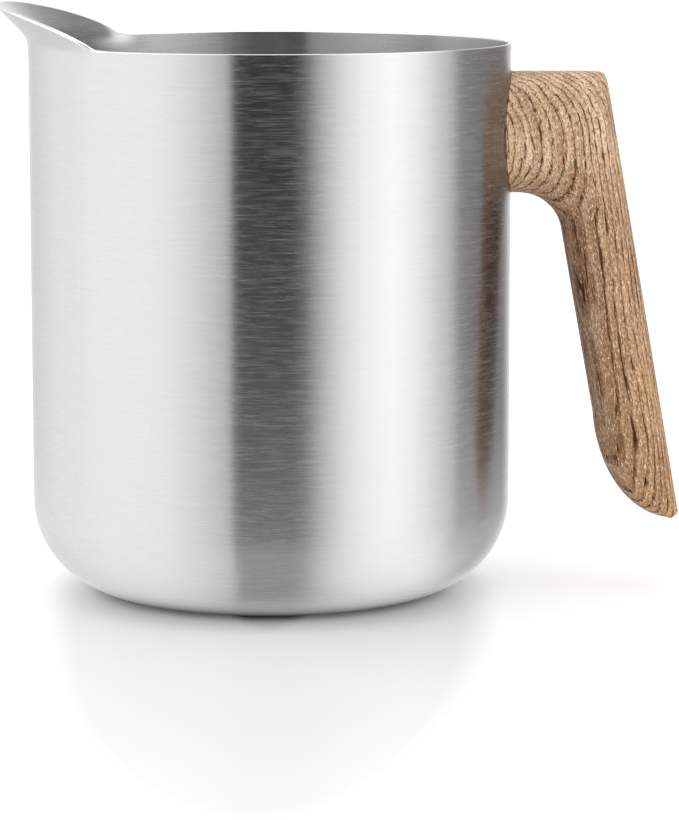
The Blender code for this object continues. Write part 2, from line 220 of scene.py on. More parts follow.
# Layers over that ground, from the first laid down to the last: (strength, colour)
OAK_LAYERS = {
    # Darker heartwood, with painted shade on the side of the leg that faces the pot
    "heart_and_painted_shade": (0.70, (0.25, 0.105, 0.042)),
    # Painted shade on the side of the handle that faces the pot
    "painted shade facing pot": (0.62, (0.10, 0.04, 0.018)),
    "late wood": (0.22, (0.55, 0.31, 0.16)),
    "patches": (0.55, (0.38, 0.19, 0.09)),
    "early wood": (0.26, (0.40, 0.20, 0.10)),
    "pale wood": (0.30, (1.0, 0.74, 0.49)),
    "hairs": (0.68, (0.26, 0.12, 0.05)),
    "specks": (0.88, (0.20, 0.09, 0.04)),
    "flecks": (0.82, (1.0, 0.90, 0.75)),
    "ring lines": (0.88, (0.105, 0.042, 0.017)),
    "pores": (0.95, (0.05, 0.02, 0.008)),
    # Painted reflection shade: darkens the oak only where a shiny surface mirrors it
    "painted reflection shade": (0.62, (0.055, 0.014, 0.004)),
}

# ---------------------------------------------------------------- finish of the other surfaces

NOISE_SPAN = (0.3, 0.7)  # the part of 0 to 1 that most of a noise falls in
BRUSH_LENGTH = 7.0  # in mm, along the brushing
BRUSH_HEIGHT = 0.20
BRUSH_ROW_STEP = (7.31, 3.77)  # takes each row of brush lines to its own part of the noise
BRUSH_SCRATCH = -0.17  # change of metalness in the deepest brush lines
BRUSH_ROUGHNESS = (0.25, 0.28)
BRUSH_TURN = 0.25  # turns the stretched highlights upright


# ---------------------------------------------------------------- helpers


def mix(a, b, share):
    return a + (b - a) * share


def ease(share):
    share = min(1.0, max(0.0, share))
    return share * share * (3.0 - 2.0 * share)


def unit(angle):
    """Unit vector in the XZ plane at an angle above +X."""
    return Vector((math.cos(angle), math.sin(angle)))


def soften(mesh, sharp_degrees=SHARP_ANGLE):
    """Smooth shading, with sharp edges where the surface turns by more than that angle."""
    mesh.shade_smooth()
    mesh.set_sharp_from_angle(angle=math.radians(sharp_degrees))


def new_object(name, mesh, *materials):
    obj = bpy.data.objects.new(name, mesh)
    bpy.context.scene.collection.objects.link(obj)
    for material in materials:
        mesh.materials.append(material)
    soften(mesh)
    return obj


def mesh_from(shape, name):
    """Turns a finished bmesh into a mesh."""
    mesh = bpy.data.meshes.new(name)
    shape.to_mesh(mesh)
    shape.free()
    return mesh


def grid_mesh(name, rows, cap_first=False, cap_last=False, painted=()):
    """Quads through rows of points; each row is a loop. A capped end gets a fan to its centre.

    The bands whose numbers are in painted get the mesh's second material."""
    shape = bmesh.new()
    loops = [[shape.verts.new(p) for p in row] for row in rows]
    for band, (low, high) in enumerate(zip(loops, loops[1:])):
        for i in range(len(low)):
            j = (i + 1) % len(low)
            face = shape.faces.new((low[i], low[j], high[j], high[i]))
            face.material_index = 1 if band in painted else 0
    for wanted, loop in ((cap_first, loops[0]), (cap_last, loops[-1])):
        if wanted:
            centre = shape.verts.new(sum((v.co for v in loop), Vector()) / len(loop))
            for i, vertex in enumerate(loop):
                shape.faces.new((vertex, loop[(i + 1) % len(loop)], centre))
    bmesh.ops.recalc_face_normals(shape, faces=shape.faces)
    return mesh_from(shape, name)


def turned(name, profile, material, x, z):
    """A closed (radius, height) profile turned round its axis, which is laid along +X at (x, z)."""
    shape = bmesh.new()
    loops = []
    for radius, height in profile:
        if radius < ON_AXIS:
            loops.append([shape.verts.new((x + height, 0.0, z))])
            continue
        loop = []
        for i in range(FIXING_SEGMENTS):
            turn = 2 * math.pi * i / FIXING_SEGMENTS
            y, rise = radius * math.cos(turn), radius * math.sin(turn)
            loop.append(shape.verts.new((x + height, y, z + rise)))
        loops.append(loop)
    closed = profile[0][0] > ON_AXIS
    pairs = list(zip(loops, loops[1:])) + ([(loops[-1], loops[0])] if closed else [])
    for low, high in pairs:
        for i in range(FIXING_SEGMENTS):
            j = (i + 1) % FIXING_SEGMENTS
            corners = [low[i % len(low)], low[j % len(low)], high[j % len(high)], high[i % len(high)]]
            unique = list(dict.fromkeys(corners))
            if len(unique) > 2:
                shape.faces.new(unique)
    bmesh.ops.recalc_face_normals(shape, faces=shape.faces)
    return new_object(name, mesh_from(shape, name), material)


def cylinder(radius, length, placement, segments):
    """A temporary cylinder for cutting; it lies along Z until it is placed."""
    shape = bmesh.new()
    bmesh.ops.create_cone(
        shape, cap_ends=True, segments=segments, radius1=radius, radius2=radius,
        depth=length, matrix=placement,
    )
    cutter = bpy.data.objects.new("cutter", mesh_from(shape, "cutter"))
    bpy.context.scene.collection.objects.link(cutter)
    return cutter


def x_cylinder(radius, x_start, x_end, z, segments):
    """A cutter along X, at height z."""
    middle = Matrix.Translation(((x_start + x_end) / 2, 0, z))
    return cylinder(radius, x_end - x_start, middle @ Matrix.Rotation(math.pi / 2, 4, "Y"), segments)


def z_cylinder(radius, z_start, z_end, segments):
    """A cutter along the pot's axis."""
    middle = Matrix.Translation((0, 0, (z_start + z_end) / 2))
    return cylinder(radius, z_end - z_start, middle, segments)


def cut(obj, cutters, operation="DIFFERENCE"):
    """Applies boolean cuts to obj's mesh and removes the cutters."""
    for cutter in cutters:
        modifier = obj.modifiers.new("cut", "BOOLEAN")
        modifier.operation = operation
        modifier.solver = "EXACT"
        modifier.object = cutter
    bpy.context.view_layer.update()
    graph = bpy.context.evaluated_depsgraph_get()
    mesh = bpy.data.meshes.new_from_object(obj.evaluated_get(graph))
    obj.modifiers.clear()
    obj.data = mesh
    for cutter in cutters:
        bpy.data.objects.remove(cutter)


def finish_piece(obj, node):
    """The piece rides on the body and stands in for its CAD node."""
    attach(obj, BODY)
    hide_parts(node)


# ---------------------------------------------------------------- node helpers


class Nodes:
    """Short calls for building the node tree of a material or a world."""

    def __init__(self, owner):
        owner.use_nodes = True
        self.owner = owner
        self.tree = owner.node_tree
        self.shader = self.tree.nodes.get("Principled BSDF")

    def add(self, kind, **values):
        node = self.tree.nodes.new(kind)
        for key, value in values.items():
            setattr(node, key, value)
        return node

    def link(self, source, target):
        self.tree.links.new(source, target)

    def put(self, socket, value):
        """Links a socket, or sets its value."""
        if isinstance(value, bpy.types.NodeSocket):
            self.link(value, socket)
        else:
            socket.default_value = value

    def math(self, operation, a, b=0.0, c=0.0, clamp=False):
        node = self.add("ShaderNodeMath", operation=operation, use_clamp=clamp)
        for socket, value in zip(node.inputs, (a, b, c)):
            self.put(socket, value)
        return node.outputs[0]

    def vector(self, operation, a, b=(0.0, 0.0, 0.0)):
        node = self.add("ShaderNodeVectorMath", operation=operation)
        self.put(node.inputs[0], a)
        self.put(node.inputs[1], b)
        return node.outputs["Value" if operation in ("DOT_PRODUCT", "LENGTH") else "Vector"]

    def combine(self, x, y, z):
        node = self.add("ShaderNodeCombineXYZ")
        for socket, value in zip(node.inputs, (x, y, z)):
            self.put(socket, value)
        return node.outputs[0]

    def noise(self, vector, scale=1.0, detail=2.0, roughness=0.5, distortion=0.0):
        node = self.add("ShaderNodeTexNoise")
        self.put(node.inputs["Vector"], vector)
        node.inputs["Scale"].default_value = scale
        node.inputs["Detail"].default_value = detail
        node.inputs["Roughness"].default_value = roughness
        node.inputs["Distortion"].default_value = distortion
        return node.outputs["Fac"]

    def ramp(self, factor, stops, interpolation="LINEAR"):
        """Colour ramp; stops are (place, value) or (place, (r, g, b))."""
        node = self.add("ShaderNodeValToRGB")
        node.color_ramp.interpolation = interpolation
        elements = node.color_ramp.elements
        while len(elements) < len(stops):
            elements.new(0.5)
        for element, (place, value) in zip(elements, stops):
            element.position = place
            colour = (value, value, value) if isinstance(value, float) else value
            element.color = (*colour, 1.0)
        self.put(node.inputs[0], factor)
        return node.outputs[0]

    def range(self, value, low, high, to_low=0.0, to_high=1.0, smooth=False):
        node = self.add("ShaderNodeMapRange", clamp=True)
        node.interpolation_type = "SMOOTHSTEP" if smooth else "LINEAR"
        for socket, item in zip(node.inputs, (value, low, high, to_low, to_high)):
            self.put(socket, item)
        return node.outputs[0]

    def mix_colour(self, factor, a, b, blend="MIX"):
        node = self.add("ShaderNodeMix", data_type="RGBA", blend_type=blend)
        self.put(node.inputs[0], factor)
        self.put(node.inputs[6], a if isinstance(a, bpy.types.NodeSocket) else (*a, 1.0))
        self.put(node.inputs[7], b if isinstance(b, bpy.types.NodeSocket) else (*b, 1.0))
        return node.outputs[2]

    def mix_value(self, factor, a, b):
        node = self.add("ShaderNodeMix", data_type="FLOAT")
        for socket, value in ((node.inputs[0], factor), (node.inputs[2], a), (node.inputs[3], b)):
            self.put(socket, value)
        return node.outputs[0]

    def bump(self, height, strength, distance, normal=None):
        node = self.add("ShaderNodeBump")
        node.inputs["Strength"].default_value = strength
        node.inputs["Distance"].default_value = distance
        self.put(node.inputs["Height"], height)
        if normal is not None:
            self.put(node.inputs["Normal"], normal)
        return node.outputs[0]

    def object_mm(self):
        """The place on the object, in millimetres."""
        coordinates = self.add("ShaderNodeTexCoord").outputs["Object"]
        scale = self.add("ShaderNodeVectorMath", operation="SCALE")
        self.put(scale.inputs[0], coordinates)
        scale.inputs["Scale"].default_value = 1000.0
        return scale.outputs[0]

    def set(self, **values):
        """Sets the shader's sockets; an underscore in a name stands for a space."""
        for key, value in values.items():
            self.put(self.shader.inputs[key.replace("_", " ")], value)


def material_nodes(name):
    return Nodes(bpy.data.materials.new(name))


# ---------------------------------------------------------------- materials


def brushed_steel(name, tint=(0.60, 0.60, 0.595)):
    """Sheet steel brushed round the pot: fine level streaks, spread highlights up and down."""
    n = material_nodes(name)
    place = n.object_mm()
    split = n.add("ShaderNodeSeparateXYZ")
    n.put(split.inputs[0], place)
    x, y, z = split.outputs
    around = n.math("ARCTAN2", y, x)
    side = n.math("COSINE", around)
    other = n.math("SINE", around)

    # Level runs up the wall, out along the spout and round the base, where the brushing goes in rings
    radius = n.vector("LENGTH", n.combine(x, y, 0.0))
    level = n.math("ADD", z, radius)

    def streaks(along_mm, up_mm, shift, detail):
        """Noise drawn out to along_mm round the pot and up_mm in height."""
        turn = POT_RADIUS / MM / along_mm
        vector = n.combine(
            n.math("MULTIPLY_ADD", side, turn, shift),
            n.math("MULTIPLY", other, turn),
            n.math("DIVIDE", level, up_mm),
        )
        return n.noise(vector, detail=detail, roughness=0.6)

    def lines(along_mm, up_mm, detail):
        """Fine brush lines: each line is up_mm high and has its own noise round the pot."""
        turn = POT_RADIUS / MM / along_mm
        row = n.math("FLOOR", n.math("DIVIDE", level, up_mm))
        vector = n.combine(
            n.math("MULTIPLY_ADD", side, turn, n.math("MULTIPLY", row, BRUSH_ROW_STEP[0])),
            n.math("MULTIPLY", other, turn),
            n.math("MULTIPLY", row, BRUSH_ROW_STEP[1]),
        )
        return n.noise(vector, detail=detail, roughness=0.6)

    fine = lines(BRUSH_LENGTH, BRUSH_HEIGHT, detail=3.0)
    broad = streaks(16.0, 0.8, shift=31.0, detail=3.0)
    cloud = streaks(40.0, 18.0, shift=67.0, detail=2.0)
    fine_tone = n.range(fine, *NOISE_SPAN, 0.955, 1.03)
    broad_tone = n.range(broad, *NOISE_SPAN, -0.015, 0.015)
    colour = n.add("ShaderNodeVectorMath", operation="SCALE")
    colour.inputs[0].default_value = tint
    n.put(colour.inputs["Scale"], n.math("ADD", fine_tone, broad_tone))
    scratch = n.range(fine, 0.46, 0.74)
    wear = n.range(cloud, *NOISE_SPAN, -0.01, 0.01)
    n.set(
        Base_Color=colour.outputs[0],
        Metallic=n.math("MULTIPLY_ADD", scratch, BRUSH_SCRATCH, 1.0),
        Roughness=n.math("ADD", n.range(broad, *NOISE_SPAN, *BRUSH_ROUGHNESS), wear),
        Anisotropic=1.0,
        Anisotropic_Rotation=BRUSH_TURN,
    )
    tangent = n.add("ShaderNodeTangent", direction_type="RADIAL", axis="Z")
    n.put(n.shader.inputs["Tangent"], tangent.outputs[0])
    height = n.math("ADD", n.math("MULTIPLY", fine, 0.6), n.math("MULTIPLY", broad, 0.4))
    n.put(n.shader.inputs["Normal"], n.bump(height, 0.3, 0.00004))
    return n.owner


def polished_edge():
    """The sheared edge of the sheet, polished bright round the rim."""
    n = material_nodes("rim_edge_steel")
    place = n.object_mm()
    wear = n.noise(place, scale=0.6, detail=3.0)
    colour = n.mix_colour(n.range(wear, 0.35, 0.65), (0.84, 0.84, 0.83), (0.90, 0.90, 0.89))
    n.set(Base_Color=colour, Metallic=1.0, Roughness=n.range(wear, *NOISE_SPAN, 0.16, 0.26))
    return n.owner


def oak():
    """Oiled white oak as a solid block: growth rings, pores along the fibre, rays and flecks.

    The fibre runs down the leg. The rings cross the handle at a slant, which bows them on the round
    neck and packs them closely down the leg's back."""
    n = material_nodes("oak_wood")
    place = n.object_mm()
    along = n.vector("DOT_PRODUCT", place, tuple(FIBRE))
    ring = n.vector("DOT_PRODUCT", place, tuple(RING_DIRECTION))
    ray = n.vector("DOT_PRODUCT", place, tuple(FIBRE.cross(RING_DIRECTION)))

    def grain(across, size, shift=0.0, detail=2.0, roughness=0.5):
        """Noise whose size in mm is (across the rings, along the rays, along the fibre)."""
        vector = n.combine(
            n.math("MULTIPLY_ADD", across, 1.0 / size[0], shift),
            n.math("DIVIDE", ray, size[1]),
            n.math("DIVIDE", along, size[2]),
        )
        return n.noise(vector, detail=detail, roughness=roughness)

    def bend(across, noise, amount):
        return n.math("ADD", across, n.math("MULTIPLY", n.math("SUBTRACT", noise, 0.5), amount))

    wander = grain(ring, (7.0, 9.0, 26.0), shift=5.0, detail=1.0)
    ripple = grain(ring, (1.6, 2.4, 7.0), shift=61.0)
    bent = bend(bend(ring, wander, RING_WANDER), ripple, RING_RIPPLE)

    # Each ring starts with a dark line and pores, turns pale, and darkens slowly to its end
    phase = n.math("FRACT", n.math("DIVIDE", bent, RING_SPACING))
    early = n.ramp(phase, [(0.0, 1.0), (0.16, 0.8), (0.42, 0.0), (0.9, 0.0), (1.0, 1.0)], "EASE")
    late = n.ramp(phase, [(0.0, 0.0), (0.3, 0.1), (0.93, 1.0), (1.0, 0.0)])
    pale = n.ramp(phase, [(0.0, 0.0), (0.22, 0.0), (0.38, 1.0), (0.6, 0.2), (1.0, 0.0)])
    width = n.range(grain(bent, (2.2, 2.4, 12.0), shift=71.0), 0.36, 0.64, 0.09, 0.20)
    line = n.range(phase, n.math("MULTIPLY", width, 0.65), width, 1.0, 0.0)
    line = n.math("MULTIPLY", line, n.range(phase, 0.0, 0.03))
    # Where the surface runs along a ring, the ring's line fades into a soft figure
    normal = n.add("ShaderNodeNewGeometry").outputs["Normal"]
    level_cut = n.math("ABSOLUTE", n.vector("DOT_PRODUCT", normal, tuple(RING_DIRECTION)))
    line = n.math("MULTIPLY", line, n.range(level_cut, 0.98, 0.84, 0.2, 1.0))
    breaks = n.range(grain(bent, (0.7, 0.8, 7.0), shift=37.0, detail=3.0), 0.42, 0.53, 0.12, 1.0)
    line = n.math("MULTIPLY", line, breaks)

    pore_noise = grain(bent, (0.42, 0.42, 6.0), shift=11.0, roughness=0.55)
    pores = n.math("MULTIPLY", n.range(pore_noise, 0.50, 0.60, smooth=True), early)
    hairs = n.range(grain(bent, (0.26, 0.26, 3.0), shift=47.0, roughness=0.6), 0.54, 0.66, smooth=True)
    fleck_noise = grain(bent, (0.28, 0.28, 0.9), shift=83.0, detail=3.0, roughness=0.75)
    flecks = n.range(fleck_noise, 0.56, 0.66, smooth=True)
    specks = n.range(fleck_noise, 0.48, 0.38, smooth=True)
    cloud = grain(bent, (6.0, 8.0, 40.0), shift=19.0, detail=3.0)
    patches = n.range(grain(bent, (2.6, 5.0, 22.0), shift=29.0), 0.47, 0.63)

    # Darker heartwood runs down the finger side of the leg, from the crook to the heel, and the same
    # layer paints shade there, on the side that faces the pot
    depth = bend(n.vector("DOT_PRODUCT", place, tuple(LEG_OUTWARD)), cloud, 9.0)
    heart_and_painted_shade = n.range(depth, 66.0, 96.0)
    heart_and_painted_shade = n.ramp(heart_and_painted_shade, [(0.0, 1.0), (0.68, 0.95), (0.84, 0.3), (1.0, 0.0)], "EASE")
    heart_and_painted_shade = n.math("MULTIPLY", heart_and_painted_shade, n.range(along, -89.0, -79.0, smooth=True))
    facing = n.vector("DOT_PRODUCT", normal, (-1.0, 0.0, 0.0))

    tone = n.mix_colour(n.range(cloud, *NOISE_SPAN), OAK_DEEP, OAK_PALE)
    # The wood's tint down the handle, with painted shade round the crook
    tone = n.mix_colour(1.0, tone, n.ramp(n.range(along, -90.0, 0.0), OAK_TINT_AND_PAINTED_SHADE), "MULTIPLY")
    # Painted shade: the leg darkens towards its back edge
    tone = n.mix_colour(n.range(depth, 70.0, 94.0), tone, OAK_PAINTED_BACK_SHADE, "MULTIPLY")
    shares = {
        # Partly the wood's darker heart, partly painted shade on the side facing the pot
        "heart_and_painted_shade": heart_and_painted_shade,
        # Painted shade: the surface turned towards the pot is darkened
        "painted shade facing pot": n.range(facing, 0.35, 0.95, smooth=True),
        "late wood": late,
        "patches": patches,
        "early wood": early,
        "pale wood": pale,
        "hairs": hairs,
        "specks": specks,
        "flecks": flecks,
        "ring lines": line,
        "pores": pores,
        # Painted reflection shade: any ray from a shiny surface, such as the pot's wall, sees the oak
        # darkened to a deep brown, so the handle's image in the wall is darker than the wood itself
        "painted reflection shade": n.add("ShaderNodeLightPath").outputs["Is Glossy Ray"],
    }
    for layer, (strength, colour) in OAK_LAYERS.items():
        tone = n.mix_colour(n.math("MULTIPLY", shares[layer], strength), tone, colour)

    pits = n.math("MULTIPLY_ADD", hairs, 0.25, pores)
    pits = n.math("MULTIPLY_ADD", specks, 0.25, pits)
    n.set(
        Base_Color=tone,
        Roughness=n.range(cloud, *NOISE_SPAN, 0.50, 0.60),
        Specular_IOR_Level=n.range(n.math("MAXIMUM", pits, line), 0.0, 1.0, 0.28, 0.04),
        Normal=n.bump(n.math("SUBTRACT", 1.0, pits), 0.6, 0.00016),
    )
    return n.owner


def even_material(name, texture, colours, roughness, relief, metallic=1.0):
    """A material whose tone, gloss and surface follow one fine noise."""
    n = material_nodes(name)
    marks = n.noise(n.object_mm(), **texture)
    n.set(
        Base_Color=n.mix_colour(n.range(marks, *NOISE_SPAN), *colours),
        Metallic=metallic,
        Roughness=n.range(marks, *NOISE_SPAN, *roughness),
        Normal=n.bump(marks, *relief),
    )
    return n.owner


def plain_steel():
    """Machined stainless steel of the screws and washers, with faint turning marks."""
    return even_material(
        "screw_steel",
        texture=dict(scale=2.2, detail=4.0, roughness=0.65),
        colours=((0.56, 0.56, 0.56), (0.68, 0.68, 0.675)),
        roughness=(0.2, 0.34),
        relief=(0.12, 0.00002),
    )


def silicone():
    """Matt, slightly cloudy silicone rubber."""
    return even_material(
        "silicone_rubber",
        texture=dict(scale=0.9, detail=3.0),
        colours=((0.66, 0.66, 0.64), (0.76, 0.76, 0.74)),
        roughness=(0.5, 0.62),
        relief=(0.1, 0.00003),
        metallic=0.0,
    )


def brass():
    """Turned brass of the inserts, slightly tarnished."""
    return even_material(
        "insert_brass",
        texture=dict(scale=1.6, detail=4.0, roughness=0.6),
        colours=((0.60, 0.42, 0.17), (0.76, 0.57, 0.27)),
        roughness=(0.28, 0.42),
        relief=(0.12, 0.00002),
    )


# ---------------------------------------------------------------- pot


def lip_height(angle):
    """Height of the lip at an angle from the middle of the spout."""
    share = min(1.0, abs(angle) / SPOUT_HALF_ANGLE)
    return POT_HEIGHT + SPOUT_RISE * (1.0 - share ** LIP_SHAPE[0]) ** LIP_SHAPE[1]


def soft_ramp(distance):
    """Rises with slope 1 above zero and stays near 0 below, with a soft bend between."""
    return 0.5 * (distance + math.sqrt(distance**2 + FLARE_SOFTNESS**2))


def flare(angle, z):
    """How far the wall stands out from the plain cylinder at that angle and height."""
    keep = 1.0 - ease((abs(angle) - FLARE_FADE[0]) / (FLARE_FADE[1] - FLARE_FADE[0]))
    if keep <= 0.0:
        return 0.0
    share = abs(angle) / SPOUT_HALF_ANGLE
    above = z - (POT_HEIGHT + FLARE_START - FLARE_DROP * share**2)
    at_foot = soft_ramp(-SPOUT_BAND - FLARE_START)
    return max(0.0, keep * FLARE_SLOPE * (soft_ramp(above) - at_foot))


def plain_profile():
    """(radius, height) down the outside of the plain pot, from the rim to near the base's middle."""
    foot = POT_HEIGHT - SPOUT_BAND
    rows = [(POT_RADIUS, mix(POT_HEIGHT, foot, i / SPOUT_ROWS)) for i in range(SPOUT_ROWS + 1)]
    rows += [(POT_RADIUS, mix(foot, BASE_FILLET, i / WALL_ROWS)) for i in range(1, WALL_ROWS)]
    centre = POT_RADIUS - BASE_FILLET
    for i in range(FILLET_ROWS + 1):
        turn = math.pi / 2 * i / FILLET_ROWS
        rows.append((centre + BASE_FILLET * math.cos(turn), BASE_FILLET * (1.0 - math.sin(turn))))
    for i in range(RING_ROWS, -RING_ROWS - 1, -1):
        offset = i / RING_ROWS
        rows.append((RING_RADIUS + RING_HALF_WIDTH * offset, RING_HEIGHT * ease(1.0 - abs(offset))))
    rows += [(radius, 0.0) for radius in BASE_RADII]
    return rows


def wall_point(radius, z, angle):
    """A point of the outside of the pot; angle is from the middle of the spout."""
    foot = POT_HEIGHT - SPOUT_BAND
    if z > foot:
        z = foot + (lip_height(angle) - foot) * (z - foot) / SPOUT_BAND
        radius = radius + flare(angle, z)
    return Vector((-radius * math.cos(angle), radius * math.sin(angle), z))


def build_pot(fixings):
    """The sheet: the outside, the rim's rounded edge, and the inside one sheet thickness further in."""
    profile = plain_profile()
    angles = [2 * math.pi * i / POT_SEGMENTS - math.pi for i in range(POT_SEGMENTS)]
    outer = [[wall_point(radius, z, angle) for angle in angles] for radius, z in profile]
    count = len(angles)

    def normal(row, i):
        """Outward normal from the neighbouring points."""
        above, below = outer[max(row - 1, 0)][i], outer[min(row + 1, len(outer) - 1)][i]
        left, right = outer[row][i - 1], outer[row][(i + 1) % count]
        return (left - right).cross(above - below).normalized()

    normals = [[normal(row, i) for i in range(count)] for row in range(len(outer))]
    if normals[20][0].dot(outer[20][0]) < 0:
        normals = [[-item for item in row] for row in normals]
    inner = [[p - SHEET * m for p, m in zip(*pair)] for pair in zip(outer, normals)]

    # The rim: the top row of each side drops a little, and rounded rows close the edge between them
    edge = SHEET * EDGE_ROUND
    rim = []
    for degrees in EDGE_TURNS:
        turn = math.radians(degrees)
        rim.append((edge * (1.0 - math.cos(turn)), edge * (math.sin(turn) - 1.0)))
    rim_rows = []
    for inset, rise in rim + [(SHEET - a, b) for a, b in reversed(rim)]:
        row = []
        for i in range(count):
            up = (outer[0][i] - outer[1][i]).normalized()
            row.append(outer[0][i] - normals[0][i] * inset + up * rise)
        rim_rows.append(row)
    rows = list(reversed(outer[1:])) + rim_rows + inner[1:]
    first = len(outer) - 1
    edge_bands = range(first, first + len(rim_rows) - 1)
    mesh = grid_mesh("pot_shell_sheet", rows, cap_first=True, cap_last=True, painted=edge_bands)
    pot = new_object("pot_sheet", mesh, brushed_steel("pot_brushed_steel"), polished_edge())
    reach = (POT_RADIUS - WALL_CUT, POT_RADIUS + WALL_CUT)
    cut(pot, [x_cylinder(CLEARANCE_RADIUS, *reach, z, CUT_SEGMENTS) for z in fixings.values()])
    soften(pot.data, POT_SHARP_ANGLE)
    finish_piece(pot, "pot_shell")


# ---------------------------------------------------------------- handle


def dome(share, roundness):
    """Quarter of a superellipse: 0 at its edge, rising to 1 at its crown and level from there."""
    return (1.0 - (1.0 - min(1.0, max(0.0, share))) ** roundness) ** (1.0 / roundness)


def side_shares():
    """Places across the handle's side, from 0 at the finger edge to 1 at the back edge."""
    return [0.5 - 0.5 * math.cos(math.pi * i / SIDE_STEPS) for i in range(SIDE_STEPS + 1)]


def closed_ring(side):
    """A ring from the points of one side, (x, half thickness, z), and their mirror images."""
    near = [(x, -y, z) for x, y, z in side]
    far = [(x, y, z) for x, y, z in side[1:-1]]
    return near + list(reversed(far))


def plain_ring(finger, back, half_width, roundness):
    """A superellipse standing on the line from finger to back."""
    side = []
    for share in side_shares():
        point = finger.lerp(back, share)
        rise = dome(2.0 * min(share, 1.0 - share), roundness)
        side.append((point.x, half_width * rise, point.y))
    return closed_ring(side)


def crook_centre():
    tangent = CROOK_RADIUS * math.tan((math.pi / 2 - LEG_TILT_INNER) / 2)
    return Vector((LEG_INNER_AT_NECK - tangent, NECK_Z - NECK_RADIUS - CROOK_RADIUS))


def outer_line():
    """A point on the leg's outer line, where it meets the neck's top line, and its normal."""
    return Vector((LEG_OUTER_AT_TOP, NECK_TOP)), unit(LEG_TILT_OUTER)


def neck_rings():
    """The round neck, from inside the wall to the start of the crook."""
    start = POT_RADIUS - NECK_INSET
    for step in range(NECK_STEPS):
        x = mix(start, crook_centre().x, step / NECK_STEPS)
        bottom, top = Vector((x, NECK_TOP - 2 * NECK_RADIUS)), Vector((x, NECK_TOP))
        yield plain_ring(bottom, top, NECK_RADIUS, NECK_ROUNDNESS)


def crook_rings():
    """The bend: rays fan out from the crook's centre to the neck's top and the leg's back.

    Each side falls away to three edges: the finger edge, the top line and the outer line."""
    centre = crook_centre()
    corner, outer_normal = outer_line()
    leg_half_depth = 0.5 * ((corner - centre).dot(outer_normal) - CROOK_RADIUS)
    for step in range(CROOK_STEPS + 1):
        bend = step / CROOK_STEPS
        direction = unit(mix(math.pi / 2, LEG_TILT_INNER, bend))
        half_width = mix(NECK_RADIUS, LEG_HALF_WIDTH, ease(bend))
        roundness = mix(NECK_ROUNDNESS, LEG_ROUNDNESS, bend)
        finger_depth = mix(NECK_RADIUS, leg_half_depth, bend)
        to_top = (corner.y - centre.y) / max(direction.y, SMALLEST_SLOPE)
        to_line = (corner - centre).dot(outer_normal) / max(direction.dot(outer_normal), SMALLEST_SLOPE)
        to_sharp = min(to_top, to_line)
        ratio = to_sharp / max(to_top, to_line)
        to_round = to_sharp * (1.0 + ratio**CORNER_SHARPNESS) ** (-1.0 / CORNER_SHARPNESS)
        side = []
        for share in side_shares():
            point = centre + direction * mix(CROOK_RADIUS, to_round, share)
            sharp = centre + direction * mix(CROOK_RADIUS, to_sharp, share)
            below_top = max(0.0, corner.y - sharp.y)
            inside_line = max(0.0, (corner - sharp).dot(outer_normal))
            rise = dome(((point - centre).length - CROOK_RADIUS) / finger_depth, roundness)
            rise *= dome(below_top / NECK_RADIUS, NECK_ROUNDNESS)
            rise *= dome(inside_line / leg_half_depth, LEG_ROUNDNESS)
            side.append((point.x, half_width * rise, point.y))
        yield closed_ring(side)


def heel_point(turn):
    """A point on the scooped edge of the leg's lower end."""
    return Vector((
        HEEL_CENTRE[0] - HEEL_HALF_X * math.cos(turn),
        HEEL_CENTRE[1] - HEEL_HALF_Z * math.sin(turn),
    ))


def leg_rings():
    """The straight leg, its scooped heel, and the small rounded nose that closes it."""
    corner, outer_normal = outer_line()
    normal = unit(LEG_TILT_INNER)
    leg_start, leg_end = crook_centre() + CROOK_RADIUS * normal, heel_point(HEEL_START)
    for step in range(1, LEG_STEPS + 1):
        share = step / LEG_STEPS
        finger = leg_start.lerp(leg_end, share)
        back = finger + normal * (corner - finger).dot(outer_normal) / normal.dot(outer_normal)
        yield plain_ring(finger, back, mix(LEG_HALF_WIDTH, HEEL_HALF_WIDTH, share), LEG_ROUNDNESS)

    back_start = back
    back_end = Vector((corner.x + (corner.y - NOSE_Z) * math.tan(LEG_TILT_OUTER), NOSE_Z))
    for step in range(1, HEEL_STEPS + 1):
        share = 1.0 - (1.0 - step / HEEL_STEPS) ** HEEL_CROWDING
        finger = heel_point(mix(HEEL_START, HEEL_END, share))
        back = back_start.lerp(back_end, share)
        yield plain_ring(finger, back, mix(HEEL_HALF_WIDTH, NOSE_HALF_WIDTH, share**3), LEG_ROUNDNESS)

    middle, half = (finger + back) / 2, (back - finger) / 2
    forward = Vector((half.y, -half.x)).normalized()
    for step in range(1, NOSE_STEPS + 1):
        turn = NOSE_TURN * step / NOSE_STEPS
        centre = middle + forward * NOSE_RADIUS * math.sin(turn)
        shrunk, half_width = half * math.cos(turn), NOSE_HALF_WIDTH * math.cos(turn)
        yield plain_ring(centre - shrunk, centre + shrunk, half_width, LEG_ROUNDNESS)


def build_handle(fixings):
    """One block of oak, scribed to the wall and drilled for the inserts."""
    rows = [*neck_rings(), *crook_rings(), *leg_rings()]
    mesh = grid_mesh("oak_handle", rows, cap_first=True, cap_last=True)
    handle = new_object("oak_handle", mesh, oak())
    scribe = (NECK_Z - SCRIBE_REACH, NECK_Z + SCRIBE_REACH)
    pocket = (POT_RADIUS - POCKET_LEAD, POT_RADIUS + POCKET_DEPTH)
    cutters = [z_cylinder(POT_RADIUS + SEAT_GAP, *scribe, POT_SEGMENTS)]
    for z in fixings.values():
        cutters.append(x_cylinder(INSERT_RADIUS + POCKET_GAP, *pocket, z, CUT_SEGMENTS))
    cut(handle, cutters)
    soften(handle.data)
    finish_piece(handle, "handle")


# ---------------------------------------------------------------- fixings


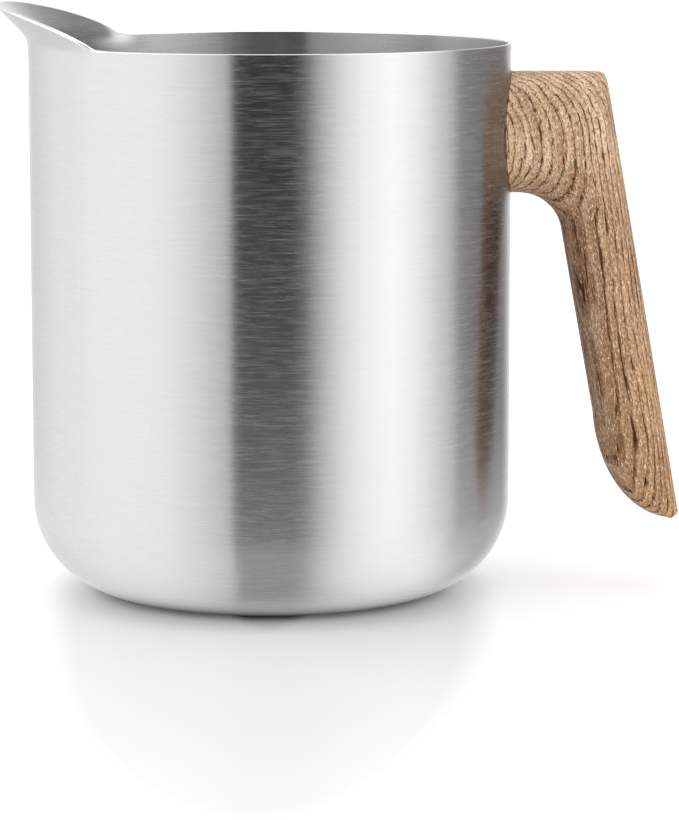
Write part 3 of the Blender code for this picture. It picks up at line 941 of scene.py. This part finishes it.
def rounded(points, radius, steps=4):
    """A closed outline of (radius, height) points with its corners rounded."""
    result = []
    count = len(points)
    for i in range(count):
        before, corner, after = (Vector(points[j % count]) for j in (i - 1, i, i + 1))
        if corner.x < ON_AXIS:
            result.append(tuple(corner))
            continue
        back, ahead = before - corner, after - corner
        start = corner + back.normalized() * min(radius, back.length * CORNER_SHARE)
        end = corner + ahead.normalized() * min(radius, ahead.length * CORNER_SHARE)
        for step in range(steps + 1):
            t = step / steps
            result.append(tuple((1 - t) ** 2 * start + 2 * t * (1 - t) * corner + t * t * end))
    return result


def ring_outline(outer, thick):
    """(radius, height) corners of a flat ring that fits round a screw."""
    return [(outer, thick), (outer, 0.0), (CLEARANCE_RADIUS, 0.0), (CLEARANCE_RADIUS, thick)]


def build_screw(name, node, material):
    """Button-head screw with a hexagon socket; its head faces the inside of the pot."""
    low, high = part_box(node)
    z = (low[2] + high[2]) / 2
    seat = high[0] - SCREW_LENGTH
    top = seat - HEAD_HEIGHT
    profile = [
        (0.0, SCREW_LENGTH),
        (SCREW_RADIUS - TIP_CHAMFER[0], SCREW_LENGTH),
        (SCREW_RADIUS, SCREW_LENGTH - TIP_CHAMFER[1]),
        (SCREW_RADIUS, HEAD_FILLET),
        (SCREW_RADIUS + HEAD_FILLET, 0.0),
        (HEAD_RADIUS - HEAD_EDGE, 0.0),
        (HEAD_RADIUS, -HEAD_EDGE),
    ]
    for degrees in CROWN_TURNS:
        turn = math.radians(degrees)
        rise = HEAD_FLANK + (1.0 - HEAD_FLANK) * math.sin(turn)
        profile.append((HEAD_RADIUS * math.cos(turn), -HEAD_HEIGHT * rise))
    profile += [(SOCKET_WIDTH * SOCKET_CHAMFER, -HEAD_HEIGHT), (0.0, -HEAD_HEIGHT)]
    screw = turned(name, profile, material, seat, z)
    cut(screw, [x_cylinder(SOCKET_WIDTH / math.sqrt(3), top - SOCKET_LEAD, top + SOCKET_DEPTH, z, 6)])
    soften(screw.data, SCREW_SHARP_ANGLE)
    finish_piece(screw, node)


def build_washer(name, node, material):
    """A plain flat ring with softened edges."""
    low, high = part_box(node)
    z = (low[2] + high[2]) / 2
    outer, thick = (high[2] - low[2]) / 2, high[0] - low[0]
    washer = turned(name, rounded(ring_outline(outer, thick), WASHER_ROUND), material, low[0], z)
    finish_piece(washer, node)


def build_seal(name, node, material):
    """A soft ring, curved on one side to sit on the inside of the wall."""
    low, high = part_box(node)
    z = (low[2] + high[2]) / 2
    outer, thick = (high[2] - low[2]) / 2, high[0] - low[0]
    # Twice as thick as needed, so that the wall's curve cuts all of its back
    seal = turned(name, rounded(ring_outline(outer, 2 * thick), SEAL_ROUND), material, low[0], z)
    wall = z_cylinder(POT_RADIUS - SHEET - SEAT_GAP, z - SEAL_REACH, z + SEAL_REACH, POT_SEGMENTS)
    cut(seal, [wall], "INTERSECT")
    soften(seal.data)
    finish_piece(seal, node)


def build_fixings():
    """Both sets of screw, washer, seal and insert. Returns the height of each screw's axis."""
    steel, rubber, insert = plain_steel(), silicone(), brass()
    heights = {}
    for place in ("upper", "lower"):
        low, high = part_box(place + "_washer")
        heights[place] = (low[2] + high[2]) / 2
        build_screw(place + "_button_screw", place + "_handle_screw", steel)
        build_washer(place + "_plain_washer", place + "_washer", steel)
        build_seal(place + "_wall_seal", place + "_seal", rubber)
        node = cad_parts[place + "_threaded_insert"]
        for slot in node.material_slots:
            slot.material = insert
    return heights


# ---------------------------------------------------------------- studio


def build_floor():
    """A smooth pale table top with a faint gloss, which glows a little like a light table, less near
    the pot and in front of it, where that paints a soft shadow.

    A ray that left a shiny surface passes through it, except close to the pot: there it meets a veil of
    table white, a painted reflection that only shiny surfaces see, so the pot's foot picks up some of
    the table and still shows the room."""
    n = material_nodes("floor_white")
    place = n.object_mm()
    cloud = n.noise(place, scale=0.02, detail=2.0)
    away = n.math("DIVIDE", n.vector("LENGTH", place), GLOW_REACH)
    split = n.add("ShaderNodeSeparateXYZ")
    n.put(split.inputs[0], place)
    x, y, _ = split.outputs
    back = n.math("MULTIPLY_ADD", n.math("MAXIMUM", y, 0.0), SIDE_GLOW - 1.0, y)
    aside = n.vector("LENGTH", n.combine(n.math("MULTIPLY", x, SIDE_GLOW), back, 0.0))
    aside = n.math("DIVIDE", aside, GLOW_REACH)
    n.set(
        Base_Color=n.mix_colour(n.range(cloud, *NOISE_SPAN), (0.82, 0.82, 0.82), (0.83, 0.83, 0.83)),
        Roughness=TABLE_ROUGHNESS,
        IOR=TABLE_IOR,
        Specular_IOR_Level=n.range(away, *TABLE_GLOSS_FADE, TABLE_GLOSS, 0.0),
        Emission_Color=(1.0, 1.0, 1.0, 1.0),
        # The glow stays low near the pot and in front of it: a painted soft shadow
        Emission_Strength=n.ramp(aside, [(mm / GLOW_REACH, glow) for mm, glow in GLOW_AND_PAINTED_SHADOW_STOPS]),
    )
    # Painted reflection: an emitting veil that only rays from shiny surfaces meet, dark right under the
    # pot as a painted contact shadow
    veil = n.add("ShaderNodeEmission")
    shade = [edge / GLOW_REACH for edge in VEIL_SHADE]
    n.put(veil.inputs["Strength"], n.range(away, *shade, VEIL_CONTACT, VEIL_LEVEL, smooth=True))
    clear = n.add("ShaderNodeBsdfTransparent")
    through = n.add("ShaderNodeMixShader")
    n.put(through.inputs[0], n.ramp(away, [(mm / GLOW_REACH, cover) for mm, cover in VEIL_STOPS]))
    n.link(clear.outputs[0], through.inputs[1])
    n.link(veil.outputs[0], through.inputs[2])
    shown = n.add("ShaderNodeMixShader")
    n.put(shown.inputs[0], n.add("ShaderNodeLightPath").outputs["Is Glossy Ray"])
    n.link(n.shader.outputs[0], shown.inputs[1])
    n.link(through.outputs[0], shown.inputs[2])
    n.link(shown.outputs[0], n.tree.nodes["Material Output"].inputs["Surface"])

    mesh = bpy.data.meshes.new("floor")
    reach, level = TABLE_REACH, -TABLE_DROP
    signs = ((-1, -1), (1, -1), (1, 1), (-1, 1))
    corners = [(reach * a, reach * b, level) for a, b in signs]
    mesh.from_pydata(corners, [], [(0, 1, 2, 3)])
    mesh.materials.append(n.owner)
    floor = bpy.data.objects.new("floor", mesh)
    bpy.context.scene.collection.objects.link(floor)


def build_world():
    """Soft studio surroundings: white screens on both sides and behind, a dark gap at the front."""
    world = bpy.data.worlds.new("studio")
    bpy.context.scene.world = world
    n = Nodes(world)
    split = n.add("ShaderNodeSeparateXYZ")
    n.put(split.inputs[0], n.add("ShaderNodeTexCoord").outputs["Generated"])
    x, y, z = split.outputs
    # The strips draw together under the pot, so that they stay level with those beside it
    down = n.math("MINIMUM", z, 0.0)
    spread = n.math("SQRT", n.math("MULTIPLY_ADD", down, n.math("MULTIPLY", down, -1.0), 1.0))
    spread = n.math("MULTIPLY_ADD", spread, 1.0 - STRIPS_UNDER, STRIPS_UNDER)
    place = n.math("MULTIPLY_ADD", n.math("ARCSINE", n.math("DIVIDE", x, spread)), 1.0 / math.pi, 0.5)

    def screens(stops):
        return n.ramp(place, [((degrees + 90) / 180, value / SCREEN_TOP) for degrees, value in stops])

    above_foot = n.range(z, *UNDER_POT, smooth=True)
    behind = n.math("MULTIPLY", n.range(y, *FRONT_TO_BACK, smooth=True), above_foot)
    level = n.math("MULTIPLY", screens(FRONT_SCREENS), n.math("SUBTRACT", 1.0, behind))
    level = n.math("MULTIPLY_ADD", screens(BACK_SCREENS), behind, level)
    level = n.math("MULTIPLY", level, SCREEN_TOP)
    lamp = n.range(z, *LAMP_EDGE, smooth=True)
    level = n.math("MULTIPLY", level, n.math("SUBTRACT", 1.0, lamp))
    level = n.math("MULTIPLY_ADD", lamp, LAMP_LEVEL, level)
    path = n.add("ShaderNodeLightPath")
    fill = n.range(x, 0.1, 1.0, MATT_FILL, MATT_FILL * MATT_FILL_SIDE)
    matt = n.math("MULTIPLY_ADD", level, MATT_SHARE, fill)
    level = n.mix_value(path.outputs["Is Diffuse Ray"], level, matt)
    seen = path.outputs["Is Camera Ray"]
    unseen = n.math("MULTIPLY", level, n.math("SUBTRACT", 1.0, seen))
    background = n.tree.nodes["Background"]
    background.inputs["Color"].default_value = (1.0, 1.0, 1.0, 1.0)
    n.put(background.inputs["Strength"], n.math("MULTIPLY_ADD", seen, BACKDROP_LEVEL, unseen))


def build_camera():
    """A long lens in front of the pot, a little above its rim and tilted down to its middle."""
    data = bpy.data.cameras.new("camera")
    data.lens = CAMERA_LENS
    data.sensor_width = CAMERA_SENSOR
    data.clip_start = 0.01
    data.clip_end = 50.0
    camera = bpy.data.objects.new("camera", data)
    bpy.context.scene.collection.objects.link(camera)
    camera.location = CAMERA_PLACE
    camera.rotation_euler = (math.pi / 2 - CAMERA_PITCH, 0.0, 0.0)
    bpy.context.scene.camera = camera


def main():
    fixing_heights = build_fixings()
    build_pot(fixing_heights)
    build_handle(fixing_heights)
    build_floor()
    build_world()
    build_camera()
    bpy.context.scene.view_settings.view_transform = "Standard"
    bpy.context.view_layer.update()


main()
